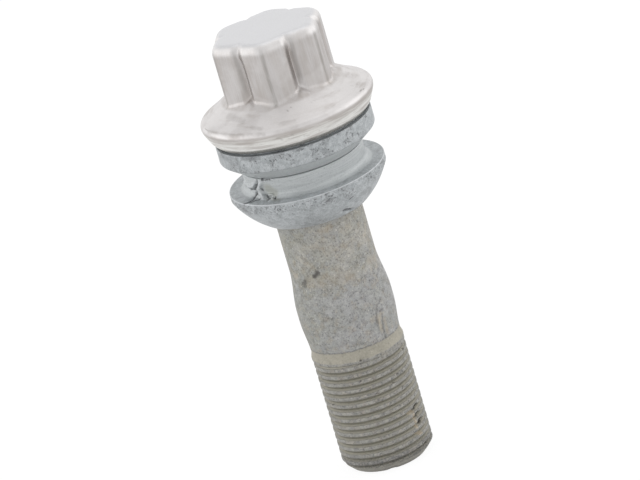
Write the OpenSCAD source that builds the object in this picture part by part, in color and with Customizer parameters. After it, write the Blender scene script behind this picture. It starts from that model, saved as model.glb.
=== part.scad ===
// Two-piece wheel bolt with a turning ball-seat ring and a bright drawn head cap.
// It stands on the end of its thread. The origin is the centre of that end face.

/* [Thread end] */
// Major diameter of the thread
thread_d = 15; // [12:0.5:18]
// Length of the threaded part
thread_len = 19.6; // [16:0.1:30]
// Height of the cone at the thread's end
end_chamfer_h = 1.6; // [0.6:0.1:2.5]
// Diameter of the flat end face
end_face_d = 12.2; // [8:0.1:12.8]
// Distance from one thread ridge to the next
thread_pitch = 1.25; // [1:0.25:2]
// Depth of the grooves between the ridges
thread_depth = 0.73; // [0.4:0.01:0.8]

/* [Shank] */
// Distance from the end face to the lower edge of the seat ring
shank_len = 43.3; // [38:0.1:60]
// Diameter of the plain shank that the ring turns on
shank_d = 13.9; // [10:0.1:14.4]
// Diameter of the waist between thread and barrel
waist_d = 14.5; // [11:0.1:15]
// Largest diameter of the barrel that centres the bolt
barrel_d = 15.35; // [14.6:0.05:17]
// Length of the barrel's slow taper towards the thread
barrel_low_h = 5.6; // [4:0.1:10]
// Length of the barrel's quick taper towards the head
barrel_high_h = 7; // [3:0.1:9]

/* [Seat ring] */
// Radius of the ball seat
seat_r = 14; // [13:0.5:16]
// How far the ring's rim lies inside the ball's own radius
rim_inset = 1.5; // [0.6:0.1:3]
// Height of the plain band between the ball face and the ledge
rim_band = 1.05; // [0.2:0.05:3]
// Thickness of the ring's neck around its bore
neck_wall = 2.67; // [1.5:0.01:3.5]
// Height of the ring's neck over the ledge
ring_neck_h = 3.1; // [2:0.1:8]
// Radius of the hollow corner at the neck's foot
neck_foot_r = 1.1; // [0.3:0.1:1.4]
// Width of the flat land at the ring's lower edge
ring_land = 1.2; // [0.2:0.1:2]
// Gap between the ring's bore and the shank, on the radius
bore_gap = 0.08; // [0.03:0.01:0.1]
// Seam between the ring's neck and the head
seam_gap = 0.2; // [0.1:0.05:0.5]

/* [Head] */
// Diameter of the plain collar under the cap
collar_d = 25; // [22:0.1:26]
// Height of the collar's straight band
collar_h = 2.7; // [1:0.1:5]
// Height of the cone under the collar
collar_cone_h = 2.15; // [1.5:0.05:5]
// Radius of the collar's lower corner
collar_corner_r = 0.6; // [0.2:0.1:1.4]
// Open gap between the collar and the cap's lip
lip_gap = 0.4; // [0.2:0.05:1.2]
// Depth of the groove from the collar's surface
groove_depth = 0.9; // [0.3:0.1:2]

/* [Cap] */
// Width across the flats of the capped head
cap_af = 16.9; // [14:0.1:19]
// Corner radius of each of the six lobes
lobe_corner_r = 3.1; // [1:0.1:3.5]
// Depth of the flute in the middle of each flat
flute_depth = 1; // [0.3:0.05:1.4]
// Half width of each flute
flute_w = 1.35; // [0.8:0.05:2.2]
// Depth of the flute at the cap's top edge
flute_top_depth = 0.6; // [0:0.05:1.4]
// Length over which the flute runs in to its full depth
flute_run = 1.8; // [1:0.1:4]
// Thickness of the cap's sheet
cap_wall = 0.5; // [0.3:0.05:0.8]
// Clearance between the cap and the forged head
cap_gap = 0.06; // [0.02:0.01:0.15]
// Height of the lobed part over the flange's widest line
lobe_h = 13.1; // [10:0.1:18]
// Radius of the cap's top edge
cap_edge_r = 1.2; // [0.9:0.05:2]
// Largest diameter of the cap's flange
flange_d = 27.7; // [26.4:0.1:32]
// Diameter where the skirt bends in to the lip
bend_d = 25.9; // [25.4:0.1:27.2]
// Diameter of the lip's inner edge
lip_d = 24.5; // [24:0.1:25.3]
// Height of the skirt from the bend to the widest line
skirt_h = 2.25; // [1.8:0.05:4]
// Height of the curled lip under the bend
curl_h = 0.7; // [0.4:0.1:1]
// Slope of the flange's upper face
flange_slope = 31; // [20:1:40]

/* [Hidden] */
$fn = 96;

thread_r = thread_d / 2;
shank_r = shank_d / 2;
waist_r = waist_d / 2;
barrel_r = barrel_d / 2;
ring_r = seat_r - rim_inset;
collar_r = collar_d / 2;
bore_r = shank_r + bore_gap;
ring_neck_r = bore_r + neck_wall;
land_r = bore_r + ring_land;

// Turned grooves that stand in for the helix: narrow flat crests and 30 degree flanks
crest_w = thread_pitch / 5;
flank_h = thread_depth * tan(30);
run_out_h = 1;
groove_n = floor((thread_len - end_chamfer_h - run_out_h - crest_w) / thread_pitch);
groove_z = thread_len - run_out_h - groove_n * thread_pitch;

// Heights over the end face, from the thread upwards
waist_z = thread_len + 0.8;
barrel_z = waist_z + barrel_low_h;
barrel_top_z = barrel_z + 1.5;
neck_z = barrel_top_z + barrel_high_h;
seat_centre_z = shank_len + sqrt(seat_r * seat_r - land_r * land_r);
ball_top_z = seat_centre_z - sqrt(seat_r * seat_r - ring_r * ring_r);
rim_z = ball_top_z + rim_band;
ring_top_z = rim_z + ring_neck_h;
head_z = ring_top_z + seam_gap;
collar_z = head_z + collar_cone_h;
collar_top_z = collar_z + collar_h;
lip_z = collar_top_z + lip_gap;
bend_z = lip_z + curl_h;
widest_z = bend_z + skirt_h;
top_z = widest_z + lobe_h;

// Sizes of the cap's skin
lip_r = lip_d / 2;
bend_r = bend_d / 2;
flange_r = flange_d / 2;
shoulder_r = 0.75;
core_skin = cap_wall + cap_gap;
lobe_count = 6;
sector = 360 / lobe_count;
skin_n = 96;
half_af = cap_af / 2;
corner_centre = (half_af - lobe_corner_r) / cos(sector / 2);
foot_r = 1.4;
lobe_foot_r = corner_centre + lobe_corner_r;

// Skirt from the widest line to the lip: radius, height, and the way the surface faces
skirt = [
    [flange_r, widest_z, 0], [flange_r - 0.09, widest_z - 0.45, -16],
    [bend_r + 0.2, bend_z + 0.45, -24], [bend_r, bend_z, -34], [lip_r, lip_z, -45]
];

// Half a cosine wave from 0 to 1 as t goes from 0 to 1
function ease(t) = (1 - cos(180 * t)) / 2;

// Angle from the middle of the nearest lobe, from 0 to half a sector
function lobe_angle(a) = abs(((a % sector) + sector + sector / 2) % sector - sector / 2);

// Radius of the six-lobed outline at angle a, drawn in by inset, with flutes of the given depth
function lobe_r(a, inset = 0, depth = flute_depth) =
    let (
        p = lobe_angle(a),
        side = sector / 2 - p,
        corner = corner_centre * sin(p),
        round_r = lobe_corner_r - inset,
        flat = (half_af - inset) / cos(side),
        tangent = atan2(round_r * sin(sector / 2), corner_centre + round_r * cos(sector / 2)),
        body = p < tangent ? corner_centre * cos(p) + sqrt(round_r * round_r - corner * corner) : flat,
        across = body * sin(side),
        dip = across < flute_w ? (1 + cos(180 * across / flute_w)) / 2 : 0
    ) body - depth * dip;

// Height of the flange's upper cone at radius r, with the sheet's thickness taken off
function cone_z(r, inset = 0) =
    widest_z + shoulder_r * cos(flange_slope) - inset / cos(flange_slope)
    + (flange_r - shoulder_r * (1 - sin(flange_slope)) - r) * tan(flange_slope);

// Point k of the skirt, moved in by inset square to the surface
function skirt_point(k, inset) =
    [skirt[k][0] - inset * cos(skirt[k][2]), skirt[k][1] - inset * sin(skirt[k][2])];

// Profile of one face of the cap at angle a, from the top's middle out to the lip
function cap_profile(a, inset) =
    let (
        r = lobe_r(a, inset),
        top_r = lobe_r(a, inset, flute_top_depth),
        edge = cap_edge_r - inset,
        foot = foot_r + inset,
        bend = 90 - flange_slope,
        shoulder = shoulder_r - inset,
        foot_c = [r + foot, cone_z(r + foot, inset) + foot / cos(flange_slope)]
    ) concat(
        [[top_r * 0.45, top_z - inset]],
        [for (k = [0:4]) [top_r - edge + edge * sin(22.5 * k), top_z - inset - edge + edge * cos(22.5 * k)]],
        [[r, top_z - cap_edge_r - flute_run]],
        [for (k = [0:4]) foot_c - foot * [cos(bend * k / 4), sin(bend * k / 4)]],
        [for (k = [0:4]) let (t = 90 - (90 - flange_slope) * (1 - k / 4))
            [flange_r - shoulder_r + shoulder * sin(t), widest_z + shoulder * cos(t)]],
        [for (k = [1:4]) skirt_point(k, inset)]
    );

// Closed skin between an outer and an inner family of profiles round the axis
module profile_skin(outer, inner, outer_z, inner_z) {
    n = len(outer);
    rows = len(outer[0]);
    all = rows * 2;
    points = concat(
        [for (i = [0:n - 1]) let (a = 360 * i / n)
            for (p = concat(outer[i], [for (k = [rows - 1:-1:0]) inner[i][k]]))
                [p[0] * cos(a), p[0] * sin(a), p[1]]],
        [[0, 0, outer_z], [0, 0, inner_z]]
    );
    walls = [for (i = [0:n - 1]) for (k = [0:all - 2])
        let (b = i * all + k, c = ((i + 1) % n) * all + k)
            each [[b, c, b + 1], [c, c + 1, b + 1]]];
    caps = [for (i = [0:n - 1])
        let (b = i * all, c = ((i + 1) % n) * all)
            each [[n * all, c, b], [n * all + 1, b + all - 1, c + all - 1]]];
    polyhedron(points, concat(walls, caps));
}

// Slope of the cone under the collar, and how far its rounded corner runs up the collar
cone_angle = atan2(collar_cone_h, collar_r - ring_neck_r);
corner_lift = collar_corner_r * tan((90 - cone_angle) / 2);

// Profile of the turned and forged bolt up to the flange that the cap is crimped round
bolt_profile = concat(
    [[0, 0], [end_face_d / 2, 0], [thread_r, end_chamfer_h]],
    [for (k = [0:groove_n - 1]) let (z = groove_z + thread_pitch * k, top = z + thread_pitch - crest_w)
        each [[thread_r, z], [thread_r - thread_depth, z + flank_h],
            [thread_r - thread_depth, top - flank_h], [thread_r, top]]],
    [[thread_r, thread_len]],
    [for (k = [0:8]) [waist_r + (barrel_r - waist_r) * ease(k / 8), waist_z + barrel_low_h * k / 8]],
    [for (k = [0:8]) [barrel_r - (barrel_r - shank_r) * ease(k / 8), barrel_top_z + barrel_high_h * k / 8]],
    [[shank_r, head_z], [ring_neck_r, head_z]],
    [for (k = [0:5]) let (t = (cone_angle - 90) * (1 - k / 5))
        [collar_r - collar_corner_r * (1 - cos(t)), collar_z + corner_lift + collar_corner_r * sin(t)]],
    [[collar_r, collar_top_z], [collar_r - groove_depth, collar_top_z]],
    [[collar_r - groove_depth, skirt_point(4, core_skin)[1]]],
    [for (k = [4:-1:0]) skirt_point(k, core_skin)],
    [[lobe_foot_r, cone_z(lobe_foot_r, core_skin)], [0, cone_z(lobe_foot_r, core_skin)]]
);

// Forged six-lobed core, with the turned chamfer over its corners
core_flat_r = 5.9;
core_chamfer = 30;
core_extra_depth = 0.35;
module head_core() {
    intersection() {
        translate([0, 0, widest_z])
            linear_extrude(top_z - core_skin - widest_z)
                polygon([for (i = [0:skin_n - 1]) let (
                    a = 360 * i / skin_n,
                    r = lobe_r(a, core_skin, flute_depth + core_extra_depth)
                ) r * [cos(a), sin(a)]]);
        rotate_extrude()
            polygon([
                [0, widest_z - 1], [flange_r, widest_z - 1],
                [flange_r, top_z - core_skin - (flange_r - core_flat_r) * tan(core_chamfer)],
                [core_flat_r, top_z - core_skin], [0, top_z - core_skin]
            ]);
    }
}

module bolt() {
    color([0.62, 0.61, 0.57]) {
        rotate_extrude() polygon(bolt_profile);
        head_core();
    }
}

// Ring with the ball seat below and a neck that bears on the head
module seat_ring() {
    neck_c = [ring_neck_r + neck_foot_r, rim_z + neck_foot_r];
    color([0.62, 0.65, 0.67])
        intersection() {
            rotate_extrude()
                polygon(concat(
                    [[bore_r, shank_len], [seat_r, shank_len], [seat_r, ball_top_z]],
                    [[ring_r, ball_top_z], [ring_r, rim_z]],
                    [for (k = [0:5]) neck_c - neck_foot_r * [sin(18 * k), cos(18 * k)]],
                    [[ring_neck_r, ring_top_z - 0.15], [ring_neck_r - 0.15, ring_top_z], [bore_r, ring_top_z]]
                ));
            union() {
                translate([0, 0, seat_centre_z]) sphere(seat_r);
                translate([0, 0, ball_top_z]) cylinder(h = rim_band + ring_neck_h + seat_r, r = ring_r);
            }
        }
}

// Drawn sheet cap, crimped under the forged flange
module head_cap() {
    angles = [for (i = [0:skin_n - 1]) 360 * i / skin_n];
    color([0.80, 0.79, 0.77])
        profile_skin(
            [for (a = angles) cap_profile(a, 0)],
            [for (a = angles) cap_profile(a, cap_wall)],
            top_z, top_z - cap_wall
        );
}

bolt();
seat_ring();
head_cap();
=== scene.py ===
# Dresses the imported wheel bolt: thread, barrel, collar, turning ball-seat ring and drawn cap.
# Shapes are worked out in millimetres and turned into metres when a mesh is made.
import functools
import math

import bmesh
import bpy
import numpy as np
from mathutils import Matrix, Vector


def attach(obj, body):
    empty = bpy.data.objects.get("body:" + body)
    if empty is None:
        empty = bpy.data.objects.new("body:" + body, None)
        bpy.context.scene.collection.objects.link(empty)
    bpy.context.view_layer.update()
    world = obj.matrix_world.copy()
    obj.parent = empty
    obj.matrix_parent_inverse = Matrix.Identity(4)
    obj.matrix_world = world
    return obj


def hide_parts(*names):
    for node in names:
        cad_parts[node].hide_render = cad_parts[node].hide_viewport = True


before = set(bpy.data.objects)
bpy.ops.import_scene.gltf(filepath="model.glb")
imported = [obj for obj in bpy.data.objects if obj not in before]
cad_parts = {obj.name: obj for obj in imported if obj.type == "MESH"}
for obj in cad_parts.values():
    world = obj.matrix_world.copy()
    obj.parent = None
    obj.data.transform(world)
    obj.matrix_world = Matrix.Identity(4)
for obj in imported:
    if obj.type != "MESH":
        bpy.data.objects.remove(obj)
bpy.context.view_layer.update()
tau = 2 * math.pi
metre = 0.001  # one millimetre
print("frame loaded:", sorted(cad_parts))

# The photograph's camera, as fitted to the bolt's own sizes
camera = {
    "azimuth": -20.0,  # degrees, so that a head corner shows just left of the middle
    "elevation": 19.2,
    "distance": 782.8,
    "aimHeight": 37.96,
    "aimLeft": 1.0,  # the axis shows a little right of the middle
    "roll": 16.4,  # the head leans to the left
    "focalPixels": 5008.0,
    "photoPixels": 640,  # width of the photograph
    "sensor": 36.0,  # millimetres
}


def placeCamera(v):
    # Camera on a sphere round the aim point, turned about its own line of sight
    a, e, roll = (math.radians(v[k]) for k in ("azimuth", "elevation", "roll"))
    right = Vector((math.cos(a), math.sin(a), 0))
    ahead = Vector((-math.sin(a) * math.cos(e), math.cos(a) * math.cos(e), -math.sin(e)))
    up = right.cross(ahead)
    aim = Vector((0, 0, v["aimHeight"])) - right * v["aimLeft"]
    spot = (aim - ahead * v["distance"]) * metre
    sideways = right * math.cos(roll) - up * math.sin(roll)
    upwards = right * math.sin(roll) + up * math.cos(roll)
    data = bpy.data.cameras.new("mainCamera")
    data.sensor_width = v["sensor"]
    data.lens = v["focalPixels"] / v["photoPixels"] * v["sensor"]
    data.clip_start = 0.01
    data.clip_end = 20
    seen = bpy.data.objects.new("mainCamera", data)
    turned = Matrix((sideways, upwards, -ahead)).transposed()
    seen.matrix_world = Matrix.Translation(spot) @ turned.to_4x4()
    bpy.context.scene.collection.objects.link(seen)
    bpy.context.scene.camera = seen
    return ahead


viewAhead = placeCamera(camera)
viewAngle = math.atan2(-viewAhead.y, -viewAhead.x)  # angle of the side that faces the camera
print("camera placed")


def ease(t):
    # 0 below 0, 1 above 1, and 3t^2 - 2t^3 between
    t = np.clip(t, 0, 1)
    return t * t * (3 - 2 * t)


def facing(degrees):
    # Angle round the axis of a spot seen so many degrees right of the middle
    return viewAngle + math.radians(degrees)


def apart(theta, centre):
    # Signed angle from centre to theta, from -pi to pi
    return (theta - centre + math.pi) % tau - math.pi


def spot(degrees, r, z):
    # Point at radius r and height z that is seen so many degrees right of the middle
    return np.array([r * math.cos(facing(degrees)), r * math.sin(facing(degrees)), z])


def nearLine(points, a, b):
    # Distance of every point from the line between a and b
    run = b - a
    t = np.clip((points - a) @ run / (run @ run), 0, 1)
    return np.linalg.norm(points - a - t[..., None] * run, axis=-1)


def inSpace(lines):
    # The same lines with both ends as points in space
    return [(spot(*a), spot(*b), *rest) for a, b, *rest in lines]


def strokes(points, lines, wobble=0.06):
    # A line's own strength along its core, falling to 0 at half its width. The points are
    # first shifted by two small sines of their own place, so that no edge is ruled.
    slow, quick = 6.3, 11.7  # radians for each millimetre
    points = points + wobble * (np.sin(points[..., ::-1] * slow) + np.sin(points * quick))
    found = np.zeros(points.shape[:-1])
    core = 0.3
    for a, b, width, strength in lines:
        away = nearLine(points, np.array(a, float), np.array(b, float))
        found = np.maximum(found, strength * (1 - ease((away / (width / 2) - core) / (1 - core))))
    return found


def bell(points, line, share):
    # 1 on a line, falling as exp(-d^2), where d is the distance over a share of the line's width
    a, b, width, _ = line
    return np.exp(-(nearLine(points, a, b) / (width * share)) ** 2)


def rounded(corners, step=0.4, closed=False):
    # Outline through (radius, height, corner radius): each corner becomes an arc that
    # touches both of its lines, and the straight stretches are cut to the given step
    pts = np.array([c[:2] for c in corners], float)
    n = len(corners)
    arcStep = math.radians(11)
    line = []
    for i in range(n):
        radius = corners[i][2] if len(corners[i]) > 2 else 0
        if radius <= 0 or (not closed and i in (0, n - 1)):
            line.append(pts[i:i + 1])
            continue
        before = pts[i - 1] - pts[i]
        after = pts[(i + 1) % n] - pts[i]
        before /= np.linalg.norm(before)
        after /= np.linalg.norm(after)
        half = math.acos(np.clip(before @ after, -1, 1)) / 2
        middle = pts[i] + (before + after) / np.linalg.norm(before + after) * radius / math.sin(half)
        a = pts[i] + before * radius / math.tan(half) - middle
        b = pts[i] + after * radius / math.tan(half) - middle
        turn = math.atan2(a[0] * b[1] - a[1] * b[0], a @ b)
        t = np.linspace(0, turn, max(3, int(abs(turn) / arcStep) + 2))[:, None]
        line.append(middle + a * np.cos(t) + np.array([-a[1], a[0]]) * np.sin(t))
    line = np.concatenate(line)
    if closed:
        line = np.concatenate([line, line[:1]])
    out = [line[:1]]
    for a, b in zip(line[:-1], line[1:]):
        cuts = max(1, int(math.ceil(np.linalg.norm(b - a) / step)))
        out.append(a + (b - a) * (np.arange(1, cuts + 1)[:, None] / cuts))
    out = np.concatenate(out)
    return out[:-1] if closed else out


def gridPiece(name, r, theta, z, layers, loopRows=False, loopCols=True):
    # Quads between neighbouring rows and columns. The last column joins the first, unless it
    # lies on it already, and the rows of a ring are joined too.
    rows, cols = r.shape
    points = inRoom(r, theta, z).reshape(-1, 3) * metre
    i = np.arange(rows if loopRows else rows - 1)[:, None]
    j = np.arange(cols if loopCols else cols - 1)[None, :]
    k, m = (i + 1) % rows, (j + 1) % cols
    quads = np.stack([i * cols + j, i * cols + m, k * cols + m, k * cols + j], -1).reshape(-1, 4)
    return meshPiece(name, points, quads, layers)


def meshPiece(name, points, quads, layers):
    # Points that fall together are merged. Layers are numbers for each point, which the
    # finish reads by name.
    mergeGap, emptyEdge = 2e-6, 1e-7  # metres
    mesh = bpy.data.meshes.new(name)
    mesh.vertices.add(len(points))
    mesh.vertices.foreach_set("co", points.astype(np.float32).ravel())
    mesh.loops.add(quads.size)
    mesh.loops.foreach_set("vertex_index", quads.astype(np.int32).ravel())
    mesh.polygons.add(len(quads))
    mesh.polygons.foreach_set("loop_start", np.arange(0, quads.size, 4, dtype=np.int32))
    mesh.update(calc_edges=True)
    for layerName, values in layers.items():
        layer = mesh.attributes.new(layerName, "FLOAT", "POINT")
        layer.data.foreach_set("value", values.astype(np.float32).ravel())
    work = bmesh.new()
    work.from_mesh(mesh)
    bmesh.ops.remove_doubles(work, verts=work.verts, dist=mergeGap)
    bmesh.ops.dissolve_degenerate(work, edges=work.edges, dist=emptyEdge)
    bmesh.ops.recalc_face_normals(work, faces=work.faces)
    work.to_mesh(mesh)
    work.free()
    mesh.polygons.foreach_set("use_smooth", np.ones(len(mesh.polygons), bool))
    piece = bpy.data.objects.new(name, mesh)
    bpy.context.scene.collection.objects.link(piece)
    tris = sum(len(p.vertices) - 2 for p in mesh.polygons)
    print(f"{name}: {len(mesh.vertices)} points, {tris} triangles")
    return piece


def turnedGrid(outline, theta):
    # Radius, height and angle of every point of an outline carried round the axis
    r = np.repeat(outline[:, 0:1], len(theta), 1)
    z = np.repeat(outline[:, 1:2], len(theta), 1)
    return r, z, np.repeat(theta[None, :], len(outline), 0)


def inRoom(r, theta, z):
    # Points in space of a grid given by radius, angle and height
    return np.stack([r * np.cos(theta), r * np.sin(theta), z], -1)


# Threaded end, barrel and neck
shank = {
    "around": 320,
    "majorR": 7.5,
    "pitch": 1.25,
    "depth": 0.68,
    "crestHalf": 0.2,
    "flankAngle": 30.0,
    "soft": 0.07,  # rounding of the crest's and the root's corners
    "startAngle": 216.0,  # degrees, turns the thread about its axis
    "endFaceR": 6.1,
    "chamferR": 7.55,
    "chamferH": 1.6,
    "runOutZ": 18.5,
    "runOutH": 0.9,
    "threadTopZ": 19.6,
    "leadH": 0.8,  # the pale cone from the thread down to the waist
    "leadTopZ": 21.3,
    "waistR": 7.25,
    "barrelR": 7.675,
    "barrelLowZ": 20.4,
    "barrelMidZ": 26.0,
    "barrelHighZ": 27.5,
    "neckZ": 34.5,
    "neckR": 6.95,
    "firstRow": 0.12,  # height of the barrel's first row over the thread
    "fineTopZ": 44.1,  # rows stand close together up to here
    "rowStep": 0.3,
    "hiddenZ": [47, 50],  # rows inside the ring
    "topZ": 54.0,
    "faceRows": [0, 0.4, 0.8, 0.93, 0.98],  # rows of the end face, in shares of its radius
    # Rows in each turn of the thread, in shares of the pitch: close where the section bends
    "turnRows": [0, 0.06, 0.13, 0.21, 0.29, 0.36, 0.4, 0.5, 0.6, 0.64, 0.71, 0.79, 0.87, 0.94],
    # Part of each turn, in shares of the pitch, where the flank faces up and gets a painted light
    "litFrom": 0.6,
    "litTo": 0.88,
    "litFadeIn": 0.1,
    "litFadeOut": 0.08,
    # Marks: degrees right of the middle and height at both ends, then width and strength
    "dark": [
        ((-30, 34.6), (-24, 34.95), 1.05, 0.8), ((-27, 34.85), (-22, 35.1), 0.7, 0.75),
        ((-52, 33.4), (-46, 33.65), 0.95, 0.6), ((-49, 33.15), (-46, 33.1), 0.7, 0.5),
        ((52.5, 8.3), (56.5, 8.4), 1.1, 1.0), ((51.5, 7.0), (56.5, 7.1), 0.9, 0.9),
        ((54.5, 5.85), (59, 5.75), 1.05, 1.0), ((38.6, 15.0), (39.4, 15.1), 0.34, 0.8),
        ((40.6, 12.5), (41.6, 12.6), 0.34, 0.8), ((65, 17.8), (67, 17.7), 0.45, 0.8),
        ((-74, 16.5), (-71, 16.6), 0.6, 0.8), ((-60, 12.3), (-57.5, 12.45), 0.35, 0.8),
        ((5.5, 13.45), (8.5, 13.4), 0.35, 0.7), ((57, 1.95), (59.5, 1.85), 0.5, 0.85),
        ((30.5, 14.05), (31.5, 14.05), 0.3, 0.7), ((-9, 16.2), (-7.5, 16.2), 0.3, 0.7),
        ((-2.3, 19.5), (-1.5, 19.55), 0.3, 0.8), ((58, 28.6), (46.5, 27.85), 0.3, 0.3),
        ((46.5, 27.85), (36.8, 27), 0.34, 0.35), ((36.8, 27), (32, 26), 0.36, 0.38),
        ((32, 26), (30.2, 24.6), 0.34, 0.38), ((30.2, 24.6), (32, 23), 0.3, 0.35),
        ((32, 23), (35.5, 21.9), 0.28, 0.3), ((34, 26.2), (46.5, 25.9), 0.42, 0.55),
        ((41.5, 25.4), (37.5, 23.4), 0.45, 0.4), ((37.5, 23.4), (38.5, 21.5), 0.4, 0.4),
        ((33, 25.6), (32.4, 24.4), 0.5, 0.45), ((-33, 27.2), (-18, 27.5), 0.8, 0.22),
        ((-28, 22.4), (-24, 21.9), 0.8, 0.25),
    ],
    "pale": [
        ((31.5, 24.7), (34, 25.65), 0.4, 0.3), ((34.5, 25.4), (33.6, 23.2), 0.6, 0.35),
        ((38, 25.3), (44, 25.4), 0.35, 0.4), ((38, 24.8), (40, 24.6), 0.5, 0.25),
        ((-52.8, 30.7), (-51.4, 30.75), 0.4, 1.0), ((-14, 28.6), (-12.4, 28.6), 0.45, 0.8),
        ((40, 7.9), (49, 7.5), 0.22, 0.6), ((49, 7.5), (47, 6.6), 0.2, 0.5),
        ((47, 6.6), (49, 5.3), 0.22, 0.6), ((49, 5.3), (44, 5.0), 0.2, 0.5),
        ((44, 4.2), (51, 4.3), 0.2, 0.5), ((60.5, 8.2), (61, 7.4), 0.3, 0.5),
    ],
    "rust": [
        ((40, 8.2), (49, 8.0), 0.7, 0.7), ((46, 7.4), (49, 6.8), 0.8, 0.65),
        ((46, 6.2), (48, 5.4), 0.8, 0.65), ((45, 4.2), (52, 3.9), 0.7, 0.6),
        ((-66, 34.4), (-62, 34.6), 1.6, 0.35), ((-40, 33.6), (20, 33.2), 3.0, 0.14),
        ((52, 34.0), (66, 33.6), 2.0, 0.3), ((-5, 41.6), (8, 41.9), 1.6, 0.25),
        ((39, 25.6), (35, 24.6), 0.8, 0.4), ((35, 24.6), (35.5, 22.6), 0.9, 0.3),
        ((43, 24.4), (44.5, 21.8), 1.0, 0.3),
    ],
    # Dents: degrees, radius and height at both ends, then width and depth
    "dents": [
        ((53, 7.5, 8.3), (56.5, 7.5, 8.4), 0.6, 0.5), ((51.5, 7.5, 7.0), (56.5, 7.5, 7.1), 0.6, 0.45),
        ((54.5, 7.5, 5.8), (59, 7.5, 5.75), 0.65, 0.5), ((-29, 7.0, 34.8), (-24, 7.0, 35.0), 0.6, 0.16),
        ((-51, 7.0, 33.5), (-47, 7.0, 33.6), 0.7, 0.1), ((-4, 6.3, 0.0), (1, 6.3, 0.0), 0.9, 0.45),
        ((-75, 7.5, 16.4), (-70, 7.5, 16.6), 0.6, 0.35), ((64, 7.5, 17.85), (68, 7.5, 17.7), 0.5, 0.3),
        ((57, 7.3, 1.9), (60, 7.3, 1.8), 0.6, 0.25),
    ],
}


def softened(value, soft):
    # 0 below 0, and a hyperbola above it that starts level and soon runs along the value
    return np.where(value > 0, np.sqrt(value * value + soft * soft) - soft, 0)


def threadRadius(theta, z, v):
    # Crest flat, sloping flanks and a flat root along a right-hand helix. The groove dies
    # away towards the run-out, and the end is cut by the chamfer cone.
    turn = z / v["pitch"] - theta / tau - v["startAngle"] / 360
    across = np.abs(turn - np.floor(turn) - 0.5) * v["pitch"]
    cut = (across - v["crestHalf"]) / math.tan(math.radians(v["flankAngle"]))
    cut = softened(cut, v["soft"])
    cut = v["depth"] - softened(v["depth"] - cut, v["soft"])
    dying = 1 - ease((z - v["runOutZ"]) / v["runOutH"])
    cone = v["endFaceR"] + (v["chamferR"] - v["endFaceR"]) * z / v["chamferH"]
    return np.minimum(v["majorR"] - cut * dying, cone)


def makeShank(v):
    # Rows of the threaded part climb with the helix and are clamped to its two ends
    theta = np.linspace(0, tau, v["around"] + 1)
    steps = np.array(v["turnRows"])
    turns = int(v["threadTopZ"] / v["pitch"]) + 2
    starts = (np.arange(-1, turns)[:, None] + steps[None, :]).ravel() + v["startAngle"] / 360
    z = v["pitch"] * (starts[:, None] + theta[None, :] / tau)
    z = np.clip(z, 0, v["threadTopZ"])
    r = threadRadius(theta[None, :] + 0 * z, z, v)
    face = np.array(v["faceRows"])[:, None] * v["endFaceR"] + 0 * theta
    bodyZ = np.concatenate([
        np.arange(v["threadTopZ"] + v["firstRow"], v["fineTopZ"], v["rowStep"]), v["hiddenZ"], [v["topZ"]]
    ])[:, None] + 0 * theta
    swell = v["waistR"] + (v["barrelR"] - v["waistR"]) * ease(
        (bodyZ - v["barrelLowZ"]) / (v["barrelMidZ"] - v["barrelLowZ"]))
    shrink = (v["barrelR"] - v["neckR"]) * ease(
        (bodyZ - v["barrelHighZ"]) / (v["neckZ"] - v["barrelHighZ"]))
    lead = np.clip(1 - (bodyZ - v["threadTopZ"]) / v["leadH"], 0, 1)
    bodyR = swell - shrink + (v["majorR"] - v["waistR"]) * lead
    r = np.concatenate([face, r, bodyR, 0 * face[:1]])
    z = np.concatenate([0 * face, z, bodyZ, 0 * face[:1] + v["topZ"]])
    return r, z, theta[None, :] + 0 * z


def dented(r, z, theta, v):
    # Pits, nicks and the bite in the end rim press the surface in by a bell curve
    points = inRoom(r, theta, z)
    for line in inSpace(v["dents"]):
        r = r - line[3] * bell(points, line, share=0.5)
    return r


def unroll(place, v):
    # Millimetres round the shank and up it, from degrees and height
    return v["majorR"] * math.radians(place[0]), place[1]


def buildShank(v):
    r, z, theta = makeShank(v)
    flat = np.stack([v["majorR"] * apart(theta, facing(0)), z], -1)
    layers = {}
    for kind in ("dark", "pale", "rust"):
        lines = [(unroll(a, v), unroll(b, v), *rest) for a, b, *rest in v[kind]]
        layers[kind] = strokes(flat, lines)
    # Painted light: a layer that is 1 where the flank faces up
    share = (z / v["pitch"] - theta / tau - v["startAngle"] / 360) % 1
    begun = ease((share - v["litFrom"]) / v["litFadeIn"])
    layers["lit"] = begun * (1 - ease((share - v["litTo"]) / v["litFadeOut"]))
    return gridPiece("threadedShank", dented(r, z, theta, v), theta, z, layers, loopCols=False)


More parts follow.
